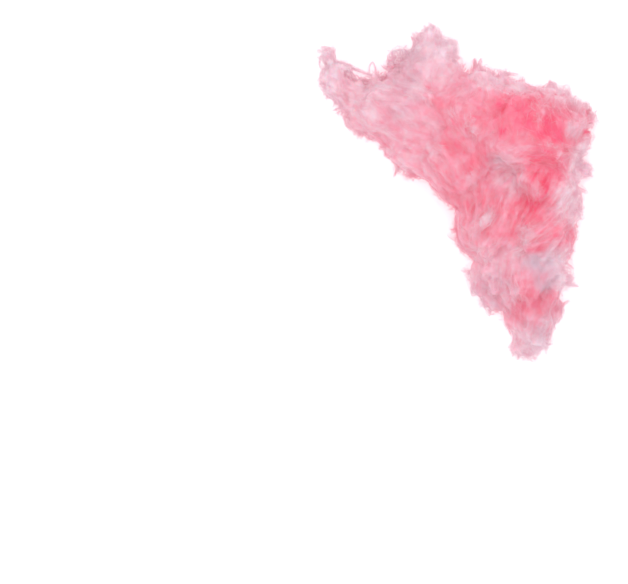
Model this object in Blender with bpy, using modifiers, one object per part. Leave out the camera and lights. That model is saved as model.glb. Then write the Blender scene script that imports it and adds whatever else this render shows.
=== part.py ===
"""Cotton candy: one tuft of pink spun sugar, torn off a cloud and lying on a table.

The tuft is a single solid. A row of puffy lobes makes the body, which is thick along its
middle and thin at its torn edge. A flat plume fans out at its back, a stalk stands off its
left end, and short spikes and tabs fray its right side. The lobes are melted into one skin
and combed into ridges along the way the sugar was pulled, the frays are melted on, and the
underside is pressed flat where the tuft rests.

Units are metres, +Z is up. The origin is on the table, under the middle of the tuft's
bounding box. +X is the frayed side and +Y is the side of the plume.
"""

import math

import bmesh
import bpy
from mathutils import Matrix, Vector, noise

MM = 0.001

# How the skin is made.
SKIN_CELL = 0.6 * MM  # grid that melts shapes together
LOBE_SMOOTHING_PASSES = 12  # rounds the creases between lobes, before the combing
SKIN_SMOOTHING_PASSES = 2
SKIN_TRIANGLES = 7400
FRAY_BALL_SPACING = 0.5  # of a fray's tip radius
PRESSED_BY = 2.4 * MM  # how far the lowest lobes are pressed flat
TABLE_DEPTH = 30.0 * MM  # of the block that presses them
TABLE_SIDE = 120.0 * MM

# The combed surface: broad lumps, and ridges that run along the pull.
LUMP_HEIGHT = 2.4 * MM
LUMP_WIDTH = 7.0 * MM
RIDGE_HEIGHT = 1.5 * MM
RIDGE_WIDTH = 2.8 * MM
RIDGE_LENGTH = 14.0 * MM
NOISE_OFFSET = Vector((3.1, 7.7, 1.9))

# The sugar runs straight out from this place at the back, and swirls round it at the front.
PULL_CENTRE = Vector((6.0, 6.0, 10.0)) * MM
PULL_SWIRL = math.radians(85)
SWIRL_STARTS_AT_Y = 24.0 * MM
SWIRL_FULL_AT_Y = -4.0 * MM

SUGAR_COLOUR = (0.86, 0.32, 0.42, 1.0)
SUGAR_ROUGHNESS = 0.75

# Each lobe in millimetres: its centre, its half sizes, and its turn in plan in degrees.
BODY_LOBES = {
    "heart": ((17.0, 13.0, 16.0), (11.5, 9.5, 16.5), 0),
    "crown": ((6.0, 16.5, 13.0), (11.0, 8.5, 13.0), 10),
    "shoulder": ((22.0, 15.0, 12.5), (7.0, 7.5, 11.5), -20),
    "corner": ((22.5, 19.0, 10.5), (5.0, 4.5, 6.5), -35),
    "neck": ((-6.0, 19.5, 10.0), (10.0, 7.0, 10.0), 5),
    "nape": ((-15.0, 19.5, 8.0), (8.5, 5.5, 7.5), -8),
    "flank": ((19.0, 2.5, 13.0), (8.0, 10.5, 13.0), 5),
    "waist": ((18.0, -9.0, 11.5), (7.0, 9.0, 11.5), 0),
    "hip": ((17.5, -19.5, 9.5), (7.0, 8.0, 9.8), 0),
    "heel": ((16.5, -29.0, 7.0), (5.0, 7.0, 7.0), 15),
    "inner_crown": ((2.0, 6.5, 11.5), (10.0, 9.0, 12.0), 0),
    "inner_neck": ((-9.5, 11.0, 8.0), (9.0, 7.5, 8.2), -20),
    "inner_nape": ((-19.0, 15.5, 6.5), (6.5, 5.0, 5.2), -25),
    "inner_flank": ((8.0, -6.5, 10.5), (8.5, 10.0, 10.8), 0),
    "inner_hip": ((9.5, -19.0, 7.5), (6.5, 8.0, 7.6), 0),
}

# The thin, torn edge: flat tufts at mid height, between the body and the air.
EDGE_LOBES = {
    "plume_root": ((-6.8, 26.4, 8.5), (9.0, 5.2, 5.6), 0),
    "plume_left": ((-12.4, 28.8, 8.0), (2.8, 3.8, 3.2), 20),
    "plume": ((-7.2, 31.4, 8.6), (4.8, 4.6, 3.8), 10),
    "plume_tip": ((-6.4, 35.2, 9.0), (2.6, 2.8, 2.6), 20),
    "plume_right": ((-2.6, 32.4, 8.4), (2.4, 3.0, 2.6), 0),
    "plume_foot": ((-15.5, 25.0, 7.6), (4.0, 3.4, 3.6), 0),
    "tail": ((-23.0, 21.5, 6.0), (6.0, 4.0, 3.8), -20),
    "tail_end": ((-27.4, 24.4, 5.6), (3.2, 2.8, 2.6), -30),
    "back_edge": ((10.0, 24.0, 9.0), (10.0, 2.9, 4.5), -5),
    "back_corner": ((21.0, 22.6, 9.5), (4.5, 2.4, 3.6), -12),
    "right_edge": ((27.2, 14.0, 9.5), (3.4, 6.4, 4.4), 0),
    "right_tab": ((27.0, 5.6, 8.8), (2.8, 2.6, 2.6), 0),
    "right_knob": ((25.4, -2.0, 9.0), (2.8, 5.4, 3.8), 0),
    "low_knob": ((23.0, -13.0, 7.5), (2.9, 6.4, 3.4), 0),
    "heel_edge": ((20.8, -25.5, 6.6), (4.0, 6.4, 3.8), -12),
    "toe": ((15.6, -34.4, 4.8), (3.0, 3.4, 3.2), 15),
}

# Each fray in millimetres: its root, its middle, its tip, and the radii at root and tip.
FRAYS = {
    "stalk": ((-28.0, 24.0, 5.5), (-28.4, 27.5, 6.5), (-29.4, 30.6, 7.0), 2.3, 1.5),
    "strand": ((-17.0, 24.0, 7.5), (-22.0, 26.8, 9.0), (-28.4, 28.8, 7.5), 1.4, 0.9),
    "plume_point": ((-6.2, 34.5, 9.0), (-6.5, 36.4, 9.4), (-6.2, 37.5, 10.0), 1.6, 0.8),
    "back_spike": ((3.8, 25.0, 9.5), (4.3, 27.2, 10.0), (4.5, 29.0, 10.2), 1.5, 0.8),
    "back_tab": ((10.0, 24.5, 9.5), (10.4, 26.2, 10.0), (10.8, 27.2, 10.2), 1.6, 0.9),
    "corner_spike": ((27.0, 16.5, 9.6), (29.2, 16.4, 10.0), (31.0, 15.8, 10.6), 2.0, 0.7),
    "waist_spike": ((25.0, -4.5, 8.8), (26.6, -5.6, 9.0), (27.9, -6.3, 9.4), 1.4, 0.7),
    "low_spike": ((23.0, -19.5, 7.4), (25.6, -20.6, 7.4), (28.0, -21.8, 7.8), 2.2, 0.7),
    "toe_point": ((15.0, -35.5, 4.4), (14.2, -37.0, 4.2), (13.6, -37.8, 4.0), 1.8, 1.0),
}


def clear_scene():
    for obj in list(bpy.data.objects):
        bpy.data.objects.remove(obj, do_unlink=True)


def new_collection(name):
    collection = bpy.data.collections.new(name)
    bpy.context.scene.collection.children.link(collection)
    return collection


def new_object(name, mesh, collection):
    obj = bpy.data.objects.new(name, mesh)
    collection.objects.link(obj)
    return obj


def add_lobe(shape, centre, half_sizes, turn):
    """One egg-shaped puff, turned in plan."""
    place = Matrix.Translation(Vector(centre) * MM)
    spin = Matrix.Rotation(math.radians(turn), 4, "Z")
    stretch = Matrix.Diagonal((*(Vector(half_sizes) * MM), 1.0))
    bmesh.ops.create_icosphere(
        shape, subdivisions=4, radius=1.0, matrix=place @ spin @ stretch
    )


def add_fray(shape, root, middle, tip, root_radius, tip_radius):
    """A tapering wisp: balls that overlap along a bent line."""
    root, middle, tip = (Vector(point) * MM for point in (root, middle, tip))
    length = (middle - root).length + (tip - middle).length
    steps = math.ceil(length / (tip_radius * MM * FRAY_BALL_SPACING))
    for step in range(steps + 1):
        along = step / steps
        point = root.lerp(middle, along).lerp(middle.lerp(tip, along), along)
        radius = (root_radius + (tip_radius - root_radius) * along) * MM
        bmesh.ops.create_icosphere(
            shape, subdivisions=2, radius=radius, matrix=Matrix.Translation(point)
        )


def mesh_of(shape, name):
    """A mesh of the shape, which is used up."""
    mesh = bpy.data.meshes.new(name)
    shape.to_mesh(mesh)
    shape.free()
    return mesh


def reshaped(mesh, collection, *modifiers):
    """The mesh after these modifiers, each a type and its settings."""
    obj = new_object("work_piece", mesh, collection)
    for kind, settings in modifiers:
        modifier = obj.modifiers.new(kind, kind)
        for name, value in settings.items():
            setattr(modifier, name, value)
    graph = bpy.context.evaluated_depsgraph_get()
    result = bpy.data.meshes.new_from_object(obj.evaluated_get(graph))
    bpy.data.objects.remove(obj, do_unlink=True)
    bpy.data.meshes.remove(mesh)
    return result


def melted(mesh, collection, smoothing_passes):
    """One smooth skin round shapes that pass through each other."""
    melt = ("REMESH", {"mode": "VOXEL", "voxel_size": SKIN_CELL})
    smooth = ("SMOOTH", {"iterations": smoothing_passes})
    return reshaped(mesh, collection, melt, smooth)


def body_skin(collection):
    """The skin of all lobes, before it is combed."""
    shape = bmesh.new()
    for centre, half_sizes, turn in (BODY_LOBES | EDGE_LOBES).values():
        add_lobe(shape, centre, half_sizes, turn)
    return melted(mesh_of(shape, "lobes"), collection, LOBE_SMOOTHING_PASSES)


def with_frays(body, collection):
    """The body's skin with the frays melted on."""
    shape = bmesh.new()
    shape.from_mesh(body)
    for fray in FRAYS.values():
        add_fray(shape, *fray)
    return melted(mesh_of(shape, "frayed"), collection, SKIN_SMOOTHING_PASSES)


def thinned(skin, collection):
    """The skin with only as many triangles as its ridges need."""
    triangles = sum(len(face.vertices) - 2 for face in skin.polygons)
    return reshaped(skin, collection, ("DECIMATE", {"ratio": SKIN_TRIANGLES / triangles}))


def pull_direction(point):
    """The way the sugar runs at a point."""
    outwards = point - PULL_CENTRE
    outwards.z *= 0.5
    outwards.normalize()
    share = (SWIRL_STARTS_AT_Y - point.y) / (SWIRL_STARTS_AT_Y - SWIRL_FULL_AT_Y)
    swirl = PULL_SWIRL * min(max(share, 0.0), 1.0)
    return Matrix.Rotation(swirl, 3, "Z") @ outwards


def combed_height(point):
    """How far the surface stands out at a point, from its lumps and ridges."""
    lump = noise.noise(point / LUMP_WIDTH + NOISE_OFFSET)
    pull = pull_direction(point)
    along = pull * point.dot(pull)
    squeezed = point - along * (1.0 - RIDGE_WIDTH / RIDGE_LENGTH)
    ridge = noise.noise(squeezed / RIDGE_WIDTH - NOISE_OFFSET)
    return LUMP_HEIGHT * lump + RIDGE_HEIGHT * ridge


def comb(mesh):
    """Raises the lumps and ridges."""
    normals = [vertex.normal.copy() for vertex in mesh.vertices]
    for vertex, normal in zip(mesh.vertices, normals):
        vertex.co += normal * combed_height(vertex.co)


def set_down(mesh):
    """Puts the middle of the bounding box over the origin, and the lowest lobes into the table."""
    low = Vector([min(vertex.co[axis] for vertex in mesh.vertices) for axis in range(3)])
    high = Vector([max(vertex.co[axis] for vertex in mesh.vertices) for axis in range(3)])
    middle = (low + high) / 2.0
    foot = Vector((middle.x, middle.y, low.z + PRESSED_BY))
    mesh.transform(Matrix.Translation(-foot))


def table_block(collection):
    """The block below the table top, which presses the underside flat."""
    shape = bmesh.new()
    size = Matrix.Diagonal((TABLE_SIDE, TABLE_SIDE, TABLE_DEPTH, 1.0))
    place = Matrix.Translation((0.0, 0.0, -TABLE_DEPTH / 2.0))
    bmesh.ops.create_cube(shape, size=1.0, matrix=place @ size)
    block = new_object("table_block", mesh_of(shape, "table_block"), collection)
    block.hide_render = True
    block.display_type = "WIRE"
    return block


def sugar_material():
    material = bpy.data.materials.new("spun_sugar")
    material.use_nodes = True
    shader = material.node_tree.nodes["Principled BSDF"]
    shader.inputs["Base Color"].default_value = SUGAR_COLOUR
    shader.inputs["Roughness"].default_value = SUGAR_ROUGHNESS
    shader.inputs["Metallic"].default_value = 0.0
    return material


def build_tuft(parts, cutters):
    body = body_skin(parts)
    comb(body)
    skin = thinned(with_frays(body, parts), parts)
    set_down(skin)
    skin.materials.append(sugar_material())
    skin.shade_smooth()
    tuft = new_object("cotton_candy", skin, parts)
    press = tuft.modifiers.new("press", "BOOLEAN")
    press.operation = "DIFFERENCE"
    press.object = table_block(cutters)


clear_scene()
build_tuft(new_collection("cotton_candy"), new_collection("cutters"))
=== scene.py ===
"""The looks of the cotton candy tuft: a matted body of spun sugar, covered in loose strands.

The CAD solid gives the tuft's skin. The body's surface is cut from a field of values in
space: the height above that skin, crumbled by noise, with loose puffs on the thin ends, and
with gaps and notches cut into it. The strands are closed, pointed tubes. Floss lies along the
surface the way the sugar was pulled, lint and fuzz curl out of it, wisps stand out of it in
small bunches, and cords run along listed places. Lengths are in millimetres until a
mesh is made, and the frame is in metres.
"""

import itertools
import math

import bpy
import numpy as np
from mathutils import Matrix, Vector
from mathutils.bvhtree import BVHTree


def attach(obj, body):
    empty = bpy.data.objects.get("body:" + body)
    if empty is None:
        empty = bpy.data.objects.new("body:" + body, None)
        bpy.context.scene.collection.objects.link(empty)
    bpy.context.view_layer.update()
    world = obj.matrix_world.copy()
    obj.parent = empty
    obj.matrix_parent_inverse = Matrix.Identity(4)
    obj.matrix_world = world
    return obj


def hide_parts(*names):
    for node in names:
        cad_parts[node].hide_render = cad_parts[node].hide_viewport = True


MM = 0.001
NODE = "cotton_candy"
PALETTE_MAP = "OFBake"  # the UV map that holds each point's tint, and its grey with painted shade

# Seeds of the noises, and of the random draws for each kind of strand.
SEEDS = {
    "wobble": 11,
    "grain": 12,
    "mottle": 13,
    "tangle": 14,
    "crumbles": 21,
    "gaps": 31,
    "notches": 41,
    "wander": 51,
    "floss": 100,
    "lint": 200,
    "fuzz": 300,
    "wisps": 400,
    "cords": 500,
}

# The coarse lattice over the solid, and the fine one that the body's surface is cut from.
COARSE_STEP = 0.7
COARSE_MARGIN = 5.0
SKIN_BLUR = 0.5  # in cells, to round the solid's facets
FINE_STEP = 0.34
FINE_MARGIN = 1.5
BULK_REACH = 3.0  # how far around a point its bulk is weighed
BAND = 2.6  # the noise moves the surface by less than this

# The surface lies this far below the skin, and crumbles more where the tuft is thin.
INSET = 0.45
VALLEY_REACH = 2.6  # hollows narrower than about twice this are filled
THIN_BULK = 0.28  # bulk below which the tuft counts as thin
FULL_BULK = 0.46
CRUMBLES = ((0.30, 0.75, 3.2), (0.14, 0.45, 1.5), (0.06, 0.20, 0.8))  # height, when thin, width
EDGE_CRUMBLE = 0.45  # how far the sides crumble like thin sugar
CRUMBLE_STANDING = 0.5  # below 1, the crumbs stand upright
GAP_DEPTH = 2.0
GAP_WIDTH = 2.2
GAP_STANDING = 0.25
GAP_LEVELS = (0.25, 0.70)  # the gaps open where the noise rises between these
RELIEFS = ((0.14, 1.0, 5.5), (0.12, 0.6, 4.0))  # height, width and length of the combed ridges
SMALLEST_CRUMB = 120  # islands of the surface with fewer points than this are left out
FLOOR_CUT = 0.25  # the body is cut off this far above the floor
FLOOR_GAP = 0.06  # and nothing comes nearer to the floor than this

UPWARDS = (-0.2, 0.3)  # a skin whose normal's Z is between these turns from side to top

# The way the sugar was pulled, seen from above: where, and the angle from +X in degrees.
PULLS = {
    "stalk": (-29.0, 29.0, 95),
    "tail": (-22.0, 25.0, 160),
    "nape": (-13.0, 21.0, 148),
    "plume_left": (-11.0, 27.0, 135),
    "plume_wisp": (-10.5, 33.0, 72),
    "plume_middle": (-6.0, 29.5, 80),
    "plume_tip": (-4.0, 35.0, 118),
    "plume_right": (-1.0, 27.0, 55),
    "back_spike": (4.2, 28.0, 86),
    "crown_left": (9.5, 19.5, 112),
    "crown": (13.0, 19.0, 95),
    "crown_low": (10.0, 13.5, 58),
    "heart": (17.0, 15.5, 115),
    "back_corner": (22.5, 22.5, 75),
    "shoulder": (22.5, 14.0, 98),
    "corner": (28.5, 17.0, 60),
    "right_edge": (26.5, 12.0, 25),
    "band": (25.5, 8.5, 145),
    "arc": (17.0, 9.3, 160),
    "middle": (13.5, 10.0, 5),
    "flank_left": (12.5, 4.5, 35),
    "flank": (18.8, 2.0, 82),
    "tab": (28.0, 5.0, 170),
    "comb_top": (20.0, -1.5, 52),
    "comb": (17.6, -5.0, 57),
    "comb_low": (17.0, -9.5, 42),
    "comb_edge": (23.5, -7.5, 14),
    "hip_arc": (21.0, -13.0, 5),
    "hip": (18.0, -18.0, 70),
    "low_spike": (26.0, -21.0, 155),
    "heel": (18.0, -27.0, 72),
    "toe": (16.0, -35.0, 68),
    "inner_neck": (-6.0, 11.0, 150),
    "inner_crown": (4.0, 7.0, 118),
    "inner_flank": (7.0, -6.0, 70),
    "inner_hip": (9.0, -19.0, 85),
}
PULL_REACH = 4.0
PULL_STEP = 1.5  # the step of the lattice that holds the pull's angle
PULL_CLING = 0.9  # at 1 the pull keeps to the skin
PULL_WOBBLE = math.radians(38)
PULL_WOBBLE_WIDTH = 4.2
NO_WOBBLE = 1.3  # the wobble would end where the sugar is combed this straight

# Where the sugar is combed straight (1) or matted like felt (0): where, reach, and how combed.
COMBED = {
    "comb": (18.0, -4.0, 5.0, 1.0),
    "comb_edge": (23.5, -7.5, 4.0, 1.0),
    "comb_low": (17.0, -10.0, 4.0, 1.0),
    "flank": (19.0, 2.0, 4.0, 0.8),
    "arc": (17.0, 9.0, 3.5, 0.7),
    "middle": (12.5, 11.0, 4.0, 0.4),
    "heart": (18.5, 16.5, 5.5, 0.2),
    "crown": (8.5, 19.5, 5.5, 0.2),
    "back_edge": (14.0, 26.0, 5.0, 0.25),
    "plume": (-5.0, 31.0, 6.0, 0.1),
    "nape": (-12.0, 22.0, 6.0, 0.4),
    "tail": (-24.0, 26.0, 5.0, 0.6),
    "stalk": (-29.5, 30.5, 3.0, 0.2),
    "corner": (28.0, 17.0, 4.0, 0.5),
    "hip": (20.0, -17.0, 4.5, 0.3),
    "heel": (18.0, -27.0, 5.0, 0.7),
    "inner_crown": (3.0, 7.0, 6.0, 0.4),
    "inner_flank": (7.0, -8.0, 6.0, 0.6),
}
COMBED_ELSEWHERE = (0.5, 0.04)  # the value far from all zones, and its weight near them

# Where the tuft frays like thin sugar, whatever its bulk: where, how far it reaches, how much.
FRAYED = {
    "plume": (-5.0, 34.0, 4.0, 0.8),
    "plume_right": (-0.5, 32.5, 3.0, 1.0),
    "plume_left": (-11.5, 30.0, 3.5, 1.0),
    "tail": (-21.0, 27.0, 4.0, 0.8),
    "stalk": (-29.0, 31.0, 3.5, 0.7),
    "back_edge": (10.0, 27.5, 3.5, 0.5),
    "back_corner": (26.0, 22.0, 3.0, 0.5),
    "right_edge": (29.0, 10.0, 3.0, 0.6),
    "tab": (28.6, 5.2, 2.4, 1.0),
    "waist_edge": (27.5, -6.0, 3.0, 0.6),
    "toe": (17.0, -37.0, 3.0, 0.5),
}

# Puffs of loose sugar on the thin ends, as balls that crumble: the middle and the radius.
PUFFS = {
    "plume_left": (-14.0, 30.9, 7.8, 1.5),
    "plume_foot": (-15.0, 28.9, 7.5, 1.3),
    "plume_shoulder": (-11.8, 31.6, 7.8, 1.3),
    "plume_wisp": (-9.8, 35.2, 8.0, 0.9),
    "plume_lobe": (-2.0, 34.2, 7.6, 1.3),
    "back_spike": (4.4, 28.2, 9.0, 1.1),
    "back_spike_top": (4.3, 29.5, 8.8, 0.8),
    "back_tuft": (10.5, 27.1, 8.5, 1.0),
    "stalk": (-29.0, 29.6, 6.6, 1.15),
    "stalk_head": (-29.4, 31.2, 6.6, 1.0),
    "right_mid": (27.4, 7.4, 9.5, 1.8),
    "tab": (28.8, 5.2, 8.2, 1.4),
    "corner": (29.4, 16.8, 8.2, 1.0),
}

# Notches that go right through the tuft, most of them in its outline: where and the radius.
NOTCHES = {
    "plume_top": (-2.9, 37.1, 1.8),
    "plume_left": (-11.8, 35.0, 1.8),
    "plume_crook": (-9.0, 37.2, 1.4),
    "plume_foot": (1.4, 28.9, 1.3),
    "tail_end": (-17.2, 28.0, 1.4),
    "tail_end_low": (-17.0, 26.4, 0.9),
    "lobe_foot": (-0.2, 30.8, 1.1),
    "lobe_side": (0.9, 33.4, 0.9),
    "tail_slit": (-25.0, 26.9, 0.8),
    "tail_slit_middle": (-23.0, 26.0, 0.95),
    "tail_slit_end": (-20.9, 25.1, 0.8),
    "tab": (28.5, 8.5, 1.4),
    "under_tab": (28.8, 1.8, 1.6),
}
NOTCH_ROUGHNESS = 0.7
NOTCH_GRAIN = 0.9
NOTCH_STANDING = 0.3
NOTCH_MARGIN = 1.5

# How deep the pink is, from 0 pale to 1 deep: where, how far it reaches, and the tint.
TINTS = {
    "heart": (18.5, 16.0, 5.5, 1.0),
    "heart_low": (22.3, 13.0, 3.2, 0.88),
    "heart_back": (20.5, 18.5, 3.0, 0.75),
    "crown": (10.5, 19.0, 3.6, 0.78),
    "crown_left": (4.5, 16.5, 4.5, 0.72),
    "neck": (-3.0, 21.0, 5.0, 0.60),
    "nape": (-12.0, 20.0, 5.0, 0.42),
    "tail": (-22.0, 24.0, 5.0, 0.22),
    "stalk": (-29.0, 29.0, 4.0, 0.20),
    "plume_foot": (-7.0, 26.0, 4.5, 0.28),
    "plume": (-6.0, 32.5, 5.0, 0.15),
    "plume_right": (-1.0, 33.0, 2.6, 0.02),
    "back_edge": (7.5, 26.0, 3.2, 0.25),
    "back_edge_middle": (14.5, 25.3, 3.0, 0.20),
    "back_corner": (23.5, 22.8, 3.4, 0.0),
    "middle": (13.0, 12.5, 4.0, 0.61),
    "band": (23.8, 8.2, 2.6, 0.72),
    "arc": (16.0, 9.0, 2.6, 0.55),
    "right_edge": (28.6, 14.6, 2.6, 0.54),
    "pale_patch": (26.0, 14.2, 1.8, 0.12),
    "right_low": (28.2, 8.0, 2.4, 0.04),
    "tab": (28.6, 5.0, 2.4, 0.02),
    "flank": (19.0, 6.0, 4.0, 0.90),
    "flank_left": (12.0, 5.0, 3.8, 0.26),
    "comb": (17.5, -3.5, 3.8, 0.82),
    "comb_low": (17.0, -9.0, 3.0, 0.60),
    "waist_edge": (25.6, -2.8, 3.2, 0.13),
    "waist": (21.0, -8.5, 3.0, 0.70),
    "hip_arc": (18.2, -13.4, 1.8, 0.74),
    "hip": (21.4, -16.0, 3.0, 0.30),
    # The deeper pink at the hip's low end is partly painted shade in the crease.
    "hip_low": (19.0, -20.5, 2.6, 0.66),
    "heel": (17.5, -27.0, 3.5, 0.74),
    "heel_edge": (22.0, -29.5, 3.0, 0.31),
    "low_spike": (25.8, -21.0, 2.2, 0.03),
    "toe": (17.0, -35.0, 4.0, 0.21),
    "inner_crown": (2.0, 8.0, 5.5, 0.66),
    "inner_neck": (-9.0, 11.0, 4.5, 0.42),
    "inner_flank": (8.0, -6.0, 5.5, 0.56),
    "inner_hip": (9.0, -19.0, 5.0, 0.40),
}
TINT_ELSEWHERE = (0.45, 0.04)

# Small spots of deeper pink: where, how far they reach, and how much deeper.
ACCENTS = {
    "crown": (9.4, 19.8, 0.9, 0.32),
    "crown_low": (10.0, 13.6, 0.8, 0.34),
    "crown_back": (5.0, 23.4, 0.6, 0.40),
    "heart": (20.0, 16.4, 1.6, 0.10),
    "heart_low": (22.8, 12.4, 1.5, 0.15),
    "corner_dash": (29.3, 13.7, 0.6, 0.90),
    "flank": (19.4, 1.6, 1.0, 0.20),
    "comb": (16.6, -3.0, 1.1, 0.14),
    "comb_low": (18.4, -5.6, 0.9, 0.06),
    "neck": (-4.4, 20.4, 1.2, 0.12),
    "plume_foot": (-6.6, 23.8, 0.7, 0.30),
    "heel": (17.6, -25.4, 1.2, 0.14),
    "inner_crown": (2.4, 5.6, 1.4, 0.18),
    "inner_flank": (6.0, -9.0, 1.3, 0.18),
}
PALE_BULK = 0.20  # the pink fades where the tuft is thin, down to a share of it
PINK_BULK = 0.42
PALE_SHARE = 0.4
SIDE_WOBBLE = 4.5  # on the sides, the zones seen from above are read this far off
SIDE_WOBBLE_WIDTH = 6.0
FOOT_TINT = 0.45  # the share of the pink that is left at the floor
FOOT_HEIGHT = 5.0
STREAK_STEPS = 5  # how often the noise is read along half a streak
STREAK_GAIN = 1.6
STREAK_TINTS = ((0.10, 0.9, 6.0), (0.10, 0.45, 4.5))  # strength, width and length of the streaks
MOTTLE_TINTS = ((0.09, 3.2), (0.09, 1.2), (0.07, 0.5))  # strength and width of the mottling

# Where the pink turns to a pale grey blue, partly the sugar's own grey and partly painted shade: where,
# how far it reaches, and how grey.
GREYS_AND_SHADES = {
    # The three hip zones are painted shade: they darken the crease between the hip and the heel to grey.
    "hip": (21.0, -16.0, 2.4, 0.65),
    "hip_left": (17.2, -16.4, 1.7, 1.0),
    "hip_low": (20.0, -20.0, 2.0, 0.95),
    "flank_left": (8.8, 6.8, 1.1, 0.6),
    "pale_patch": (26.2, 13.8, 1.7, 0.22),
    "plume_left": (-10.5, 28.5, 4.0, 0.20),
    "plume_right": (-1.5, 33.0, 3.0, 0.10),
    "back_edge": (14.0, 26.0, 3.0, 0.15),
    "heel": (19.0, -29.0, 4.0, 0.32),
    "nape": (-12.5, 21.5, 4.0, 0.24),
    "inner_hip": (8.0, -22.0, 3.5, 0.4),
}
GREY_SHADE_ELSEWHERE = (0.0, 0.35)
GREY_SHADE_PATCHES = (0.8, 0.5, 1.6)  # the share of grey and painted shade that is left on average, its spread and its width

# Colours along the tint, in linear numbers.
PINKS = (
    (0.00, (0.92, 0.760, 0.825)),
    (0.25, (0.89, 0.615, 0.695)),
    (0.50, (0.89, 0.445, 0.545)),
    (0.75, (0.90, 0.280, 0.380)),
    (1.00, (0.94, 0.145, 0.260)),
)
# A darker grey blue, mixed in for the sugar's own grey and for painted shade.
GREY_AND_SHADE_COLOUR = (0.62, 0.51, 0.60)
SUGAR_ROUGHNESS = 0.7
SUGAR_SHINE = 0.2
GLOW_DEPTH = 1.6  # how far light spreads inside the sugar
GLOW_RADII = (1.0, 0.45, 0.55)
LIGHT_BOUNCES = 24  # light is scattered many times among the strands

STRAND_SIDES = 3
STRAND_TWIST = math.radians(20)
STRAND_ROLL = 0.05
STRAND_TAPER = 0.5
STRAND_LIFT = 0.5  # how much more than the surface the strands' flat sides face up
STRAND_TINTS = 0.06  # how much the strands differ in tint

# Each kind of strand: the pieces, the strands in each and the points along a strand, their
# sizes, where they grow, and how much each influence turns them.
FLOSS = {
    "pieces": 2,
    "count": 3600,
    "points": 7,
    "length": (2.2, 6.0),
    "radius": (0.022, 0.052),
    "underneath": 0.4,  # the share of floss on the underside
    "matted": 0.3,  # the share where the sugar isn't combed
    "rise": (-0.05, 0.22),  # how far above the surface the floss lies
    "onward": 0.5,
    "cling": 0.8,
    "scatter": 0.15,
    "tangle": 0.5,
    "tangle_width": 1.7,
    "lift": 0.8,
    "most_lift": 0.8,  # counts this far off its height at most
}
LINT = {
    "pieces": 2,
    "count": 9500,
    "points": 5,
    "length": (0.9, 2.8),
    "radius": (0.022, 0.048),
    "thick": 0.10,  # the share where the tuft is thick
    "standing": 0.5,
    "scatter": 0.7,
    "pull": 0.35,
    "tangle": 1.0,
    "tangle_width": 0.8,
    "reach": 0.55,  # past this far from the surface, the lint turns back
    "return": 0.9,
}
FUZZ = {
    "pieces": 1,
    "count": 4000,
    "points": 5,
    "length": (0.6, 1.8),
    "radius": (0.020, 0.040),
    "thick": 0.25,
    "scatter": 0.5,
    "pull": 0.3,
    "tangle": 0.4,
    "tangle_width": 1.0,
}
WISPS = {
    "pieces": 1,
    "count": 6000,
    "points": 6,
    "length": (1.4, 4.2),
    "radius": (0.022, 0.042),
    "bunch": 20,  # the strands in each wisp
    "width": 0.9,
    "narrowing": 0.55,
    "top": 0.05,  # the share where the surface faces straight up or down
    "thick": 0.4,
    "depth": 0.3,
    "pull": 0.7,
    "scatter": 0.35,
    "tangle": 0.35,
    "tangle_width": 1.5,
    "bend": 0.40,
    "shortest": 0.6,  # the shortest strand's share of its wisp's length
}

# Cords, listed one by one: how many strands, the widths of both ends, and the places on the way.
CORDS = {
    "stalk_loop": (16, 0.6, 0.5, (-29.6, 27.6, 6), (-31.2, 28.4, 6), (-31.4, 30, 6), (-30.4, 31, 6)),
    "stalk_crook": (18, 1.2, 0.5, (-28.2, 30.6, 7), (-29.4, 32.6, 7), (-31.2, 33.2, 7)),
    "stalk_top": (18, 1.4, 0.8, (-28.0, 29.6, 7), (-28.2, 31.6, 7), (-27.8, 33.2, 7)),
    "hairpin": (
        14, 0.5, 0.4, (-20, 26, 5), (-20, 28.8, 5), (-19.2, 30, 5), (-18.5, 28.6, 5), (-18.6, 26, 5)
    ),
    "tail_cord": (34, 0.9, 0.7, (-28.6, 30.2, 6), (-25.4, 28.9, 6), (-22.4, 27.6, 6), (-18, 26, 6)),
    "back_spike": (60, 2.2, 0.7, (4.2, 25.6, 8), (4.1, 28.0, 8), (3.9, 30.6, 8)),
    "back_spike_right": (26, 1.6, 0.4, (4.8, 26.0, 8), (5.0, 28.6, 8), (5.6, 30.6, 8)),
    "plume_wisp": (34, 1.3, 0.5, (-9.8, 29.6, 7), (-10.2, 32.0, 7), (-9.5, 34.0, 7), (-10.6, 35.6, 7)),
    "plume_crook": (40, 1.6, 0.6, (-5.4, 34.4, 8), (-6.3, 36.6, 8), (-5.8, 38.0, 8)),
    "plume_right": (60, 2.0, 1.2, (-2.6, 31.6, 8), (-1.4, 33.4, 8), (-0.2, 34.6, 8)),
    "corner_point": (30, 1.4, 0.3, (27.0, 16.6, 8), (29.2, 17.6, 8), (30.6, 19.2, 8)),
    "low_point": (30, 1.4, 0.3, (23.0, -19.4, 5), (25.6, -20.8, 5), (28.0, -21.6, 5)),
    "waist_curl": (14, 0.5, 0.3, (23.6, -13.4, 6), (25.2, -13.8, 6), (26.2, -13.0, 6), (25.8, -12.2, 6)),
}
CORD_POINTS = 10
CORD_FINENESS = 6  # points on the way to each of a cord's points
CORD_SMOOTHINGS = 30
CORD_WANDER = 0.35
CORD_WANDER_WIDTH = 1.3
CORD_APART = 40.0  # how far apart a cord's strands read the noise that they wander by
CORD_RADIUS = (0.026, 0.048)
PALETTE_SPREAD = 0.004  # keeps each strand's faces open on the palette map
PALETTE_MARGIN = 0.02

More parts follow.
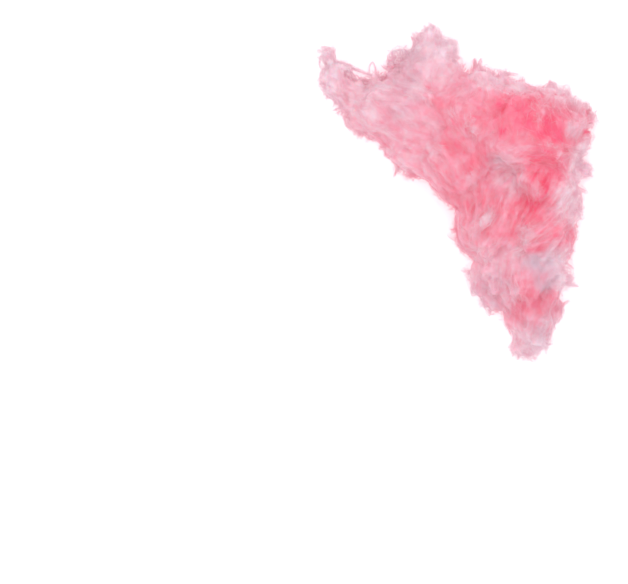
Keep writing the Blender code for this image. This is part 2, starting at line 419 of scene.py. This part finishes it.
# Camera and light.
VIEW_CENTRE = (-0.0326, -0.0227)
VIEW_WIDTH = 0.1432
CAMERA_HEIGHT = 4.0
CAMERA_REACH = 10.0
SENSOR_WIDTH = 36.0
SKY_STRENGTH = 0.785
SOFTBOX_PLACE = (-0.02, 0.10, 1.0)
SOFTBOX_SIZE = 0.9
SOFTBOX_POWER = 4.0
FLOOR_HALF = 3.0
FLOOR_WHITE = 0.96
FLOOR_ROUGHNESS = 0.9
FLOOR_GLOW = 0.28


# Values in space.


def corners_blended(values, cell, part):
    """The values at points in their cells, blended from each cell's eight corners."""
    total = 0.0
    rows = [(cell[:, axis], (cell[:, axis] + 1) % values.shape[axis]) for axis in range(3)]
    shares = [(1.0 - part[:, axis], part[:, axis]) for axis in range(3)]
    extra = (1,) * (values.ndim - 3)
    for i, j, k in itertools.product((0, 1), repeat=3):
        weight = shares[0][i] * shares[1][j] * shares[2][k]
        total = total + weight.reshape(-1, *extra) * values[rows[0][i], rows[1][j], rows[2][k]]
    return total


class Noise:
    """Smooth random values in space, from -1 to 1, which repeat after many cells."""

    CELLS = 64

    def __init__(self, seed, parts=()):
        shape = (self.CELLS, self.CELLS, self.CELLS, *parts)
        self.values = np.random.default_rng(seed).uniform(-1.0, 1.0, shape)

    def __call__(self, points, width):
        at = points / width
        cell = np.floor(at).astype(int)
        part = at - cell
        return corners_blended(self.values, cell % self.CELLS, part * part * (3.0 - 2.0 * part))


class Lattice:
    """Values on a regular lattice, which can be read at any point."""

    def __init__(self, low, step, values):
        self.low = low
        self.step = step
        self.values = values
        self.last = np.array(values.shape[:3]) - 1.001

    def __call__(self, points):
        at = np.clip((points - self.low) / self.step, 0.0, self.last)
        cell = at.astype(int)
        return corners_blended(self.values, cell, at - cell)

    def slopes(self):
        """A lattice of how fast the values rise along X, Y and Z."""
        return Lattice(self.low, self.step, np.stack(np.gradient(self.values, self.step), axis=-1))


def lattice_points(low, high, step):
    """The shape and the points of a lattice over a box."""
    axes = [np.arange(a, b, step) for a, b in zip(low, high)]
    points = np.stack(np.meshgrid(*axes, indexing="ij"), axis=-1)
    return points.shape[:3], points.reshape(-1, 3)


def normalised(vectors):
    return vectors / np.maximum(np.linalg.norm(vectors, axis=-1, keepdims=True), 1e-9)


def dot(a, b):
    return np.sum(a * b, axis=-1, keepdims=True)


def along_with(vectors, heading):
    """The vectors, each turned round if it points against its heading."""
    return vectors * np.where(dot(vectors, heading) < 0.0, -1.0, 1.0)


def smooth_step(low, high, values):
    part = np.clip((values - low) / (high - low), 0.0, 1.0)
    return part * part * (3.0 - 2.0 * part)


def blurred(values, reach):
    """The values after a Gaussian blur, with the reach in cells."""
    spectrum = np.fft.rfftn(values)
    for axis, count in enumerate(values.shape):
        turns = np.fft.rfftfreq(count) if axis == 2 else np.fft.fftfreq(count)
        shape = [1, 1, 1]
        shape[axis] = -1
        spectrum = spectrum * np.exp(-2.0 * (np.pi * turns * reach) ** 2).reshape(shape)
    return np.fft.irfftn(spectrum, s=values.shape)


# The CAD solid.


def solid_tree(node):
    """The CAD solid's faces, in millimetres, for finding near points and casting rays."""
    mesh = node.data
    corners = [tuple(vertex.co / MM) for vertex in mesh.vertices]
    return BVHTree.FromPolygons(corners, [tuple(face.vertices) for face in mesh.polygons])


def filled_column(tree, x, y, low, heights):
    """Which of these heights above (x, y) lie inside the solid."""
    inside = np.zeros(len(heights), bool)
    up = Vector((0.0, 0.0, 1.0))
    hit = tree.ray_cast(Vector((x, y, low)), up)[0]
    while hit is not None:
        inside ^= heights > hit.z
        hit = tree.ray_cast(hit + up * 1e-4, up)[0]
    return inside


class Solid:
    """The CAD solid as values in space: the height above its skin, and its bulk."""

    def __init__(self, node):
        tree = solid_tree(node)
        corners = np.array([vertex.co for vertex in node.data.vertices]) / MM
        self.low = corners.min(axis=0) - COARSE_MARGIN
        self.high = corners.max(axis=0) + COARSE_MARGIN
        shape, points = lattice_points(self.low, self.high, COARSE_STEP)
        gaps = [tree.find_nearest(Vector(point))[3] for point in points]
        columns = points.reshape(*shape, 3)
        inside = np.zeros(shape, bool)
        for i, j in np.ndindex(shape[:2]):
            x, y, low = columns[i, j, 0]
            inside[i, j] = filled_column(tree, x, y, low, columns[i, j, :, 2])
        height = np.where(inside, -1.0, 1.0) * np.reshape(gaps, shape)
        filled = blurred(height, VALLEY_REACH / COARSE_STEP)
        rounded = blurred(height, SKIN_BLUR)
        self.height = Lattice(self.low, COARSE_STEP, np.minimum(rounded, filled))
        self.slopes = self.height.slopes()
        bulk = blurred(inside.astype(float), BULK_REACH / COARSE_STEP)
        self.bulk = Lattice(self.low, COARSE_STEP, bulk)

    def outwards(self, points):
        return normalised(self.slopes(points))

    def thinness(self, points):
        """From 0 in the thick of the tuft to 1 where it is thin or frayed."""
        thin = 1.0 - smooth_step(THIN_BULK, FULL_BULK, self.bulk(points))
        for x, y, reach, amount in FRAYED.values():
            gap = np.hypot(points[:, 0] - x, points[:, 1] - y)
            thin = np.maximum(thin, amount * np.exp(-((gap / reach) ** 4)))
        return thin


# How the sugar lies and how it is tinted.


class Sugar:
    """The pull, the tint, and the grey with painted shade of the sugar at any point of a solid."""

    def __init__(self, solid):
        self.solid = solid
        self.grain = Noise(SEEDS["grain"])
        self.mottle = Noise(SEEDS["mottle"])
        self.tangle = Noise(SEEDS["tangle"], (3,))
        self.turns = self.turn_lattice()

    def turn_lattice(self):
        """The cosine and sine of twice the pull's angle, seen from above, with some wobble."""
        shape, points = lattice_points(self.solid.low, self.solid.high, PULL_STEP)
        twice = np.zeros((len(points), 2))
        for x, y, angle in PULLS.values():
            gap = np.hypot(points[:, 0] - x, points[:, 1] - y)
            weight = 1.0 / (1.0 + (gap / PULL_REACH) ** 4)
            double = 2.0 * math.radians(angle)
            twice += weight[:, None] * (math.cos(double), math.sin(double))
        angle = np.arctan2(twice[:, 1], twice[:, 0])
        wobble = PULL_WOBBLE * (NO_WOBBLE - self.combed(points))
        angle = angle + 2.0 * wobble * Noise(SEEDS["wobble"])(points, PULL_WOBBLE_WIDTH)
        turns = np.stack([np.cos(angle), np.sin(angle)], axis=-1)
        return Lattice(self.solid.low, PULL_STEP, turns.reshape(*shape, 2))

    def pull(self, points):
        """The way the sugar was pulled: along the skin, at the angle of the pulls nearby."""
        twice = self.turns(points)
        angle = np.arctan2(twice[:, 1], twice[:, 0]) / 2.0
        flat = np.stack([np.cos(angle), np.sin(angle), np.zeros(len(points))], axis=1)
        out = self.solid.outwards(points)
        return normalised(flat - PULL_CLING * dot(flat, out) * out)

    def streaks(self, points, width, length):
        """Noise smeared along the pull, from about -1 to 1."""
        total = self.grain(points, width)
        for side in (1.0, -1.0):
            at = points
            heading = side * self.pull(at)
            for _ in range(STREAK_STEPS):
                at = at + heading * (length / 2.0 / STREAK_STEPS)
                heading = along_with(self.pull(at), heading)
                total = total + self.grain(at, width)
        return np.clip(total * STREAK_GAIN / math.sqrt(2 * STREAK_STEPS + 1), -1.0, 1.0)

    def facing_up(self, points):
        """From 0 on the sides and the underside to 1 where the skin faces up."""
        return smooth_step(*UPWARDS, self.solid.outwards(points)[:, 2])

    def plan(self, points):
        """Where the points read the zones, seen from above: with a wobble on the sides."""
        side = 1.0 - self.facing_up(points)
        wobble = self.tangle(points, SIDE_WOBBLE_WIDTH)[:, :2]
        return points[:, :2] + SIDE_WOBBLE * side[:, None] * wobble

    def zone_mean(self, points, zones, background, background_weight):
        """The mean of the zones' values, each weighed by how near it is in plan."""
        total = np.full(len(points), background * background_weight)
        weights = np.full(len(points), background_weight)
        plan = self.plan(points)
        for x, y, reach, value in zones.values():
            gap = np.hypot(plan[:, 0] - x, plan[:, 1] - y)
            weight = np.exp(-((gap / reach) ** 2))
            total += weight * value
            weights += weight
        return total / weights

    def combed(self, points):
        """How straight the sugar is combed, from 0 to 1."""
        return self.zone_mean(points, COMBED, *COMBED_ELSEWHERE)

    def tint(self, points):
        """How deep the pink is, from 0 to 1."""
        tint = self.zone_mean(points, TINTS, *TINT_ELSEWHERE)
        thickness = smooth_step(PALE_BULK, PINK_BULK, self.solid.bulk(points))
        foot = smooth_step(0.0, FOOT_HEIGHT, points[:, 2])
        tint = tint * (PALE_SHARE + (1.0 - PALE_SHARE) * thickness)
        tint = tint * (FOOT_TINT + (1.0 - FOOT_TINT) * foot)
        facing = self.facing_up(points)
        for x, y, reach, deeper in ACCENTS.values():
            gap = np.hypot(points[:, 0] - x, points[:, 1] - y)
            tint = tint + deeper * facing**2 * np.exp(-((gap / reach) ** 2))
        for strength, width in MOTTLE_TINTS:
            tint = tint + strength * self.mottle(points, width)
        combed = self.combed(points)
        for strength, width, length in STREAK_TINTS:
            tint = tint + strength * combed * self.streaks(points, width, length)
        return np.clip(tint, 0.0, 1.0)

    def grey_and_shade(self, points):
        """How grey the sugar is painted, from 0 to 1: partly its own grey blue and partly painted shade,
        as at the hip.
        """
        grey_shade = self.zone_mean(points, GREYS_AND_SHADES, *GREY_SHADE_ELSEWHERE)
        mean, spread, width = GREY_SHADE_PATCHES
        patches = mean + spread * self.mottle(points[:, ::-1], width)
        return np.clip(grey_shade * patches, 0.0, 1.0)

    def tangles(self, points, width):
        """A direction that turns at random from place to place."""
        return normalised(self.tangle(points, width))


# The body.


def surface_net(values, low, step):
    """Points and quads of the closed surface between the values below 0 and those above.

    Each cell that the surface crosses holds one point, at the mean of its edges' crossings,
    and each edge that the surface crosses is ringed by one quad.
    """
    cells = np.array(values.shape) - 1
    sums = np.zeros((*cells, 3))
    counts = np.zeros(cells)
    crossings = []
    for axis in range(3):
        near = np.delete(values, -1, axis)
        far = np.delete(values, 0, axis)
        crossed = (near < 0.0) != (far < 0.0)
        edges = np.argwhere(crossed)
        place = edges.astype(float)
        place[:, axis] += near[crossed] / (near[crossed] - far[crossed])
        others = [a for a in range(3) if a != axis]
        ring = []
        for shifts in ((0, 0), (1, 0), (1, 1), (0, 1)):
            cell = edges.copy()
            cell[:, others] -= shifts
            ring.append(cell)
            np.add.at(sums, tuple(cell.T), place)
            np.add.at(counts, tuple(cell.T), 1)
        turned = (near[crossed] < 0.0) == (axis != 1)
        crossings.append((np.stack(ring, axis=1), turned))
    used = counts > 0
    number = np.full(cells, -1)
    number[used] = np.arange(used.sum())
    points = low + step * sums[used] / counts[used][:, None]
    quads = []
    for ring, turned in crossings:
        quad = number[ring[..., 0], ring[..., 1], ring[..., 2]]
        quad[~turned] = quad[~turned, ::-1]
        quads.append(quad)
    return points, np.concatenate(quads)


def without_crumbs(points, quads):
    """The surface without the islands that have only a few points."""
    label = np.arange(len(points))
    before = None
    while before is None or (label != before).any():
        before = label
        least = label[quads].min(axis=1)
        label = label.copy()
        for side in range(4):
            np.minimum.at(label, quads[:, side], least)
        label = label[label]
    kept = np.bincount(label, minlength=len(points))[label] >= SMALLEST_CRUMB
    number = np.cumsum(kept) - 1
    return points[kept], number[quads[kept[quads[:, 0]]]]


def point_normals(points, quads):
    """The way out of the surface at each point."""
    corners = points[quads]
    across = np.cross(corners[:, 2] - corners[:, 0], corners[:, 3] - corners[:, 1])
    normals = np.zeros_like(points)
    for side in range(4):
        np.add.at(normals, quads[:, side], across)
    return normalised(normals)


class Body:
    """The matted body: a field that is 0 on its surface, and the surface's points and quads."""

    def __init__(self, solid, sugar):
        low = solid.low + COARSE_MARGIN - FINE_MARGIN
        high = solid.high - COARSE_MARGIN + FINE_MARGIN
        shape, points = lattice_points(low, high, FINE_STEP)
        values = solid.height(points) + INSET
        for *middle, radius in PUFFS.values():
            values = np.minimum(values, np.linalg.norm(points - middle, axis=1) - radius)
        near = np.abs(values) < BAND
        values[near] += self.crumble(solid, points[near])
        values = np.maximum(self.notched(values, points), FLOOR_CUT - points[:, 2]).reshape(shape)
        self.field = Lattice(low, FINE_STEP, values)
        self.slopes = self.field.slopes()
        self.points, self.quads = without_crumbs(*surface_net(values, low, FINE_STEP))
        self.normals = point_normals(self.points, self.quads)
        self.comb(sugar)

    def crumble(self, solid, points):
        """How much the surface is pushed in by crumbs and gaps, which mostly stand upright."""
        thin = solid.thinness(points)
        sideways = 1.0 - np.abs(solid.outwards(points)[:, 2])
        loose = np.maximum(thin, EDGE_CRUMBLE * sideways)
        upright = points * (1.0, 1.0, CRUMBLE_STANDING)
        pushed = np.zeros(len(points))
        for number, (height, thin_height, width) in enumerate(CRUMBLES):
            rough = Noise(SEEDS["crumbles"] + number)(upright, width)
            pushed += (height + (thin_height - height) * loose) * rough
        torn = Noise(SEEDS["gaps"])(points * (1.0, 1.0, GAP_STANDING), GAP_WIDTH)
        return pushed + GAP_DEPTH * smooth_step(*GAP_LEVELS, torn) * thin * sideways

    def notched(self, values, points):
        """The values with the notches cut out."""
        for number, (x, y, reach) in enumerate(NOTCHES.values()):
            gap = np.hypot(points[:, 0] - x, points[:, 1] - y)
            close = gap < reach + NOTCH_MARGIN
            upright = points[close] * (1.0, 1.0, NOTCH_STANDING)
            rough = NOTCH_ROUGHNESS * Noise(SEEDS["notches"] + number)(upright, NOTCH_GRAIN)
            values[close] = np.maximum(values[close], reach - gap[close] + rough)
        return values

    def comb(self, sugar):
        """Raises the surface in ridges along the pull."""
        relief = np.zeros(len(self.points))
        combed = sugar.combed(self.points)
        for height, width, length in RELIEFS:
            relief += height * combed * sugar.streaks(self.points, width, length)
        self.points = self.points + self.normals * relief[:, None]
        self.points[:, 2] = np.maximum(self.points[:, 2], FLOOR_GAP)
        self.normals = point_normals(self.points, self.quads)


# The strands.


def chosen_roots(body, random, count, weights):
    """Points of the body's surface and their normals, picked by weight."""
    picked = random.choice(len(body.points), count, p=weights / weights.sum())
    nudge = random.uniform(-0.5, 0.5, (count, 3)) * FINE_STEP
    return body.points[picked] + nudge, body.normals[picked]


def grown(roots, heading, lengths, points, steer):
    """Each strand's points: it starts at its root and is steered at every step."""
    path = [roots]
    step = lengths[:, None] / (points - 1)
    for _ in range(points - 1):
        heading = normalised(steer(path[-1], heading))
        at = path[-1] + heading * step
        path.append(at)
    return np.stack(path, axis=1)


def floss_paths(body, sugar, kind, random):
    """Strands that lie along the surface, the way it was pulled."""
    count = kind["count"]
    seen = np.where(body.normals[:, 2] > UPWARDS[0], 1.0, kind["underneath"])
    weights = seen * (kind["matted"] + sugar.combed(body.points))
    roots, normals = chosen_roots(body, random, count, weights)
    rise = random.uniform(*kind["rise"], count)[:, None]
    lengths = random.uniform(*kind["length"], count)
    heading = sugar.pull(roots) * random.choice([-1.0, 1.0], count)[:, None]
    own_way = random.normal(size=(count, 3)) * kind["scatter"]

    def steer(at, heading):
        pull = along_with(sugar.pull(at), heading)
        out = normalised(body.slopes(at))
        lift = rise - body.field(at)[:, None]
        lift = np.clip(lift, -kind["most_lift"], kind["most_lift"])
        level = pull - kind["cling"] * dot(pull, out) * out
        turned = kind["tangle"] * sugar.tangles(at, kind["tangle_width"])
        return kind["onward"] * heading + level + own_way + turned + kind["lift"] * lift * out

    return grown(roots + normals * rise, heading, lengths, kind["points"], steer)


def lint_paths(body, sugar, kind, random):
    """Short curls, most of them where the tuft is thin."""
    count = kind["count"]
    weights = kind["thick"] + sugar.solid.thinness(body.points)
    roots, normals = chosen_roots(body, random, count, weights)
    lengths = random.uniform(*kind["length"], count)
    heading = kind["standing"] * normals + random.normal(size=(count, 3)) * kind["scatter"]

    def steer(at, heading):
        pull = along_with(sugar.pull(at), heading)
        out = normalised(body.slopes(at))
        stray = np.clip(body.field(at) - kind["reach"], 0.0, 1.0)[:, None]
        turned = kind["tangle"] * sugar.tangles(at, kind["tangle_width"])
        return heading + kind["pull"] * pull + turned - kind["return"] * stray * out

    return grown(roots, heading, lengths, kind["points"], steer)


def fuzz_paths(body, sugar, kind, random):
    """The finest hairs, which stand out of the surface."""
    count = kind["count"]
    weights = kind["thick"] + sugar.solid.thinness(body.points)
    roots, normals = chosen_roots(body, random, count, weights)
    lengths = random.uniform(*kind["length"], count)
    heading = normals + random.normal(size=(count, 3)) * kind["scatter"]

    def steer(at, heading):
        pull = along_with(sugar.pull(at), heading)
        turned = kind["tangle"] * sugar.tangles(at, kind["tangle_width"])
        return heading + kind["pull"] * pull + turned

    return grown(roots, heading, lengths, kind["points"], steer)


def wisp_paths(body, sugar, kind, random):
    """Strands in small pointed bunches, which stand out of the sides and the thin places."""
    count = kind["count"]
    bunches = count // kind["bunch"]
    sideways = 1.0 - np.abs(body.normals[:, 2])
    thin = sugar.solid.thinness(body.points)
    weights = kind["top"] + sideways**2 * (kind["thick"] + thin)
    roots, normals = chosen_roots(body, random, bunches, weights)
    lengths = random.uniform(*kind["length"], bunches)
    pull = along_with(sugar.pull(roots), normals)
    scatter = random.normal(size=(bunches, 3)) * kind["scatter"]
    heading = normals + kind["pull"] * pull + scatter

    def steer(at, heading):
        return heading + kind["tangle"] * sugar.tangles(at, kind["tangle_width"])

    feet = roots - kind["depth"] * normals
    middles = grown(feet, heading, lengths, kind["points"], steer)
    middles = np.repeat(middles, kind["bunch"], axis=0)
    spread = random.normal(size=(count, 1, 3)) * kind["width"] / 2.0
    own_bend = random.normal(size=(count, 1, 3)) * kind["bend"]
    along = np.linspace(0.0, 1.0, kind["points"])[None, :, None]
    share = random.uniform(kind["shortest"], 1.0, (count, 1, 1))
    feet = middles[:, :1]
    narrowed = spread * (1.0 - kind["narrowing"] * along)
    return feet + (middles - feet) * share + narrowed + own_bend * along**2


def cord_path(places, points):
    """A smooth path with this many points through the places."""
    places = np.array(places, float)
    knots = np.arange(len(places))
    at = np.linspace(0.0, len(places) - 1.0, CORD_FINENESS * points)
    rough = np.stack([np.interp(at, knots, places[:, axis]) for axis in range(3)], axis=1)
    for _ in range(CORD_SMOOTHINGS):
        rough[1:-1] = (rough[:-2] + 2.0 * rough[1:-1] + rough[2:]) / 4.0
    return rough[np.linspace(0, len(rough) - 1, points).astype(int)]


def cord_paths(random):
    """The strands of all cords, each with its own way around its cord's middle."""
    paths = []
    wander = Noise(SEEDS["wander"], (3,))
    for strands, first_width, last_width, *places in CORDS.values():
        middle = cord_path(places, CORD_POINTS)
        width = np.linspace(first_width, last_width, CORD_POINTS)[:, None]
        for _ in range(strands):
            shift = random.uniform(-CORD_APART, CORD_APART, 3)
            own_side = random.normal(size=3) * width / 3.0
            own_way = CORD_WANDER * wander(middle + shift, CORD_WANDER_WIDTH)
            paths.append(middle + own_side + own_way)
    return np.array(paths)


def strand_faces(rings):
    """The faces of one tube, by the number of its point: a tip, its rings and the other tip."""
    last = 1 + rings * STRAND_SIDES
    faces = []
    for side in range(STRAND_SIDES):
        after = (side + 1) % STRAND_SIDES
        faces.append((0, 1 + after, 1 + side))
        for ring in range(rings - 1):
            start = 1 + ring * STRAND_SIDES
            end = start + STRAND_SIDES
            faces.append((start + side, start + after, end + after, end + side))
        end = last - STRAND_SIDES
        faces.append((end + side, end + after, last))
    return faces


def tubes(paths, radii, out, random):
    """Points and faces of closed tubes along the paths, which come to a point at both ends.

    One flat side of each tube faces out, but for a small twist.
    """
    count, steps, _ = paths.shape
    paths = paths.copy()
    paths[..., 2] = np.maximum(paths[..., 2], FLOOR_GAP + radii[:, None])
    along = normalised(np.gradient(paths, axis=1))
    roll = STRAND_ROLL * random.normal(size=(count, 1, 3))
    side = normalised(np.cross(out[:, None] + roll, along))
    up = np.cross(along, side)
    taper = np.sin(np.pi * np.linspace(0.0, 1.0, steps)[1:-1]) ** STRAND_TAPER
    width = (radii[:, None] * taper)[:, :, None, None]
    corners = 2.0 * np.pi * (np.arange(STRAND_SIDES) + 0.25) / STRAND_SIDES
    twist = random.normal(size=(count, 1, 1, 1)) * STRAND_TWIST
    turns = corners[:, None] + twist
    spokes = np.cos(turns) * side[:, 1:-1, None] + np.sin(turns) * up[:, 1:-1, None]
    rings = (paths[:, 1:-1, None] + width * spokes).reshape(count, -1, 3)
    points = np.concatenate([paths[:, :1], rings, paths[:, -1:]], axis=1)
    pattern = strand_faces(steps - 2)
    starts = range(0, count * points.shape[1], points.shape[1])
    faces = [tuple(start + corner for corner in face) for start in starts for face in pattern]
    return points.reshape(-1, 3), faces


def strand_palette(paths, sugar, random):
    """The tint, and the grey with painted shade, at each point of the strands' tubes."""
    count, steps, _ = paths.shape
    middle = paths[:, steps // 2]
    own_tint = random.normal(size=count) * STRAND_TINTS
    tint = np.clip(sugar.tint(middle) + own_tint, PALETTE_MARGIN, 1.0 - PALETTE_MARGIN)
    grey_shade = np.clip(sugar.grey_and_shade(middle), PALETTE_MARGIN, 1.0 - PALETTE_MARGIN)
    along = np.linspace(-1.0, 1.0, steps)[1:-1, None]
    turns = 2.0 * np.pi * np.arange(STRAND_SIDES) / STRAND_SIDES
    u = tint[:, None, None] + PALETTE_SPREAD * (3.0 * along + np.cos(turns))
    v = grey_shade[:, None, None] + PALETTE_SPREAD * (3.0 * along**2 + np.sin(turns))
    rings = np.stack([u, v], axis=-1).reshape(count, -1, 2)
    tip = np.stack([tint, grey_shade], axis=-1)[:, None]
    reach = 4.0 * PALETTE_SPREAD
    return np.concatenate([tip - reach, rings, tip + reach], axis=1).reshape(-1, 2)


# Materials and meshes.


def ramp_node(tree, stops, source):
    """A colour ramp that reads the source."""
    ramp = tree.nodes.new("ShaderNodeValToRGB")
    elements = ramp.color_ramp.elements
    while len(elements) < len(stops):
        elements.new(0.5)
    for element, (position, colour) in zip(elements, stops):
        element.position = position
        element.color = (*colour, 1.0)
    tree.links.new(source, ramp.inputs["Fac"])
    return ramp


def sugar_material(name, glow):
    """Spun sugar: its pink follows the palette map's tint, and turns grey along its other way, which is
    partly painted shade.
    """
    material = bpy.data.materials.new(name)
    material.use_nodes = True
    tree = material.node_tree
    shader = tree.nodes["Principled BSDF"]
    shader.inputs["Roughness"].default_value = SUGAR_ROUGHNESS
    shader.inputs["Specular IOR Level"].default_value = SUGAR_SHINE
    shader.inputs["Subsurface Weight"].default_value = glow
    shader.inputs["Subsurface Radius"].default_value = GLOW_RADII
    shader.inputs["Subsurface Scale"].default_value = GLOW_DEPTH * MM
    palette = tree.nodes.new("ShaderNodeUVMap")
    palette.uv_map = PALETTE_MAP
    split = tree.nodes.new("ShaderNodeSeparateXYZ")
    tree.links.new(palette.outputs["UV"], split.inputs["Vector"])
    pink = ramp_node(tree, PINKS, split.outputs["X"])
    # The grey mixed in darkens the pink: partly the sugar's own grey, and painted shade in the hip's
    # crease.
    mix = tree.nodes.new("ShaderNodeMix")
    mix.data_type = "RGBA"
    mix.inputs["B"].default_value = (*GREY_AND_SHADE_COLOUR, 1.0)
    tree.links.new(split.outputs["Y"], mix.inputs["Factor"])
    tree.links.new(pink.outputs["Color"], mix.inputs["A"])
    tree.links.new(mix.outputs["Result"], shader.inputs["Base Color"])
    return material


def new_piece(name, points, faces, palette, material):
    """A mesh object that stands for the CAD node and wears its slot. Points are in millimetres."""
    mesh = bpy.data.meshes.new(name)
    mesh.from_pydata((points * MM).tolist(), [], faces)
    mesh.materials.append(material)
    corner = np.zeros(len(mesh.loops), np.int32)
    mesh.loops.foreach_get("vertex_index", corner)
    uv_map = mesh.uv_layers.new(name=PALETTE_MAP)
    clipped = np.clip(palette, 0.001, 0.999).astype(np.float32)
    uv_map.uv.foreach_set("vector", clipped[corner].ravel())
    piece = bpy.data.objects.new(name, mesh)
    bpy.context.scene.collection.objects.link(piece)
    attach(piece, "root")
    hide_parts(NODE)
    return piece


def make_body(body, sugar, material):
    palette = np.stack([sugar.tint(body.points), sugar.grey_and_shade(body.points)], axis=1)
    piece = new_piece("candy_body", body.points, body.quads.tolist(), palette, material)
    piece.data.shade_smooth()


def make_strands(name, kind, paths_of, body, sugar, material):
    """The pieces of one kind of strand."""
    for number in range(kind["pieces"]):
        random = np.random.default_rng(SEEDS[name] + number)
        paths = paths_of(body, sugar, kind, random)
        radii = random.uniform(*kind["radius"], kind["count"])
        out = normalised(body.slopes(paths[:, kind["points"] // 2])) + (0.0, 0.0, STRAND_LIFT)
        points, faces = tubes(paths, radii, normalised(out), random)
        palette = strand_palette(paths, sugar, random)
        new_piece(f"candy_{name}_{number + 1}", points, faces, palette, material)


def make_cords(sugar, material):
    random = np.random.default_rng(SEEDS["cords"])
    paths = cord_paths(random)
    out = np.tile((0.0, 0.0, 1.0), (len(paths), 1))
    points, faces = tubes(paths, random.uniform(*CORD_RADIUS, len(paths)), out, random)
    new_piece("candy_cords", points, faces, strand_palette(paths, sugar, random), material)


# Floor, light and camera.


def make_floor():
    mesh = bpy.data.meshes.new("floor")
    sides = (-FLOOR_HALF, FLOOR_HALF)
    corners = [(x, y, 0.0) for x in sides for y in sides]
    mesh.from_pydata(corners, [], [(0, 2, 3, 1)])
    material = bpy.data.materials.new("floor")
    material.use_nodes = True
    shader = material.node_tree.nodes["Principled BSDF"]
    shader.inputs["Base Color"].default_value = (FLOOR_WHITE, FLOOR_WHITE, FLOOR_WHITE, 1.0)
    shader.inputs["Roughness"].default_value = FLOOR_ROUGHNESS
    shader.inputs["Emission Color"].default_value = (1.0, 1.0, 1.0, 1.0)
    shader.inputs["Emission Strength"].default_value = FLOOR_GLOW
    mesh.materials.append(material)
    floor = bpy.data.objects.new("floor", mesh)
    bpy.context.scene.collection.objects.link(floor)


def make_sky():
    world = bpy.data.worlds.new("studio")
    world.use_nodes = True
    background = world.node_tree.nodes["Background"]
    background.inputs["Color"].default_value = (1.0, 1.0, 1.0, 1.0)
    background.inputs["Strength"].default_value = SKY_STRENGTH
    bpy.context.scene.world = world
    bpy.context.scene.cycles.max_bounces = LIGHT_BOUNCES
    bpy.context.scene.cycles.diffuse_bounces = LIGHT_BOUNCES


def make_softbox():
    light = bpy.data.lights.new("softbox", "AREA")
    light.shape = "DISK"
    light.size = SOFTBOX_SIZE
    light.energy = SOFTBOX_POWER
    softbox = bpy.data.objects.new("softbox", light)
    softbox.location = SOFTBOX_PLACE
    softbox.rotation_euler = (-softbox.location).to_track_quat("-Z", "Y").to_euler()
    bpy.context.scene.collection.objects.link(softbox)


def make_camera():
    camera = bpy.data.cameras.new("camera")
    camera.sensor_width = SENSOR_WIDTH
    camera.lens = SENSOR_WIDTH * CAMERA_HEIGHT / VIEW_WIDTH
    camera.clip_end = CAMERA_REACH
    holder = bpy.data.objects.new("camera", camera)
    holder.location = (*VIEW_CENTRE, CAMERA_HEIGHT)
    bpy.context.scene.collection.objects.link(holder)
    bpy.context.scene.camera = holder
    bpy.context.scene.view_settings.view_transform = "Standard"


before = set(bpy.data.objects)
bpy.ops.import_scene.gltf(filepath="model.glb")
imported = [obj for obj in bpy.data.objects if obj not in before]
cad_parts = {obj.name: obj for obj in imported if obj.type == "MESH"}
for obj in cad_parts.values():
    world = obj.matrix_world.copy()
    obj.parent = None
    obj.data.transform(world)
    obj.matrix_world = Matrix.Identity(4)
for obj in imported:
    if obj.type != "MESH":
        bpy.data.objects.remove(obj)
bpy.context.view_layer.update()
solid = Solid(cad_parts[NODE])
sugar = Sugar(solid)
body = Body(solid, sugar)
matted = sugar_material("matted_sugar", glow=1.0)
loose = sugar_material("loose_sugar", glow=0.0)
make_body(body, sugar, matted)
make_strands("floss", FLOSS, floss_paths, body, sugar, loose)
make_strands("lint", LINT, lint_paths, body, sugar, loose)
make_strands("fuzz", FUZZ, fuzz_paths, body, sugar, loose)
make_strands("wisps", WISPS, wisp_paths, body, sugar, loose)
make_cords(sugar, loose)
make_floor()
make_sky()
make_softbox()
make_camera()
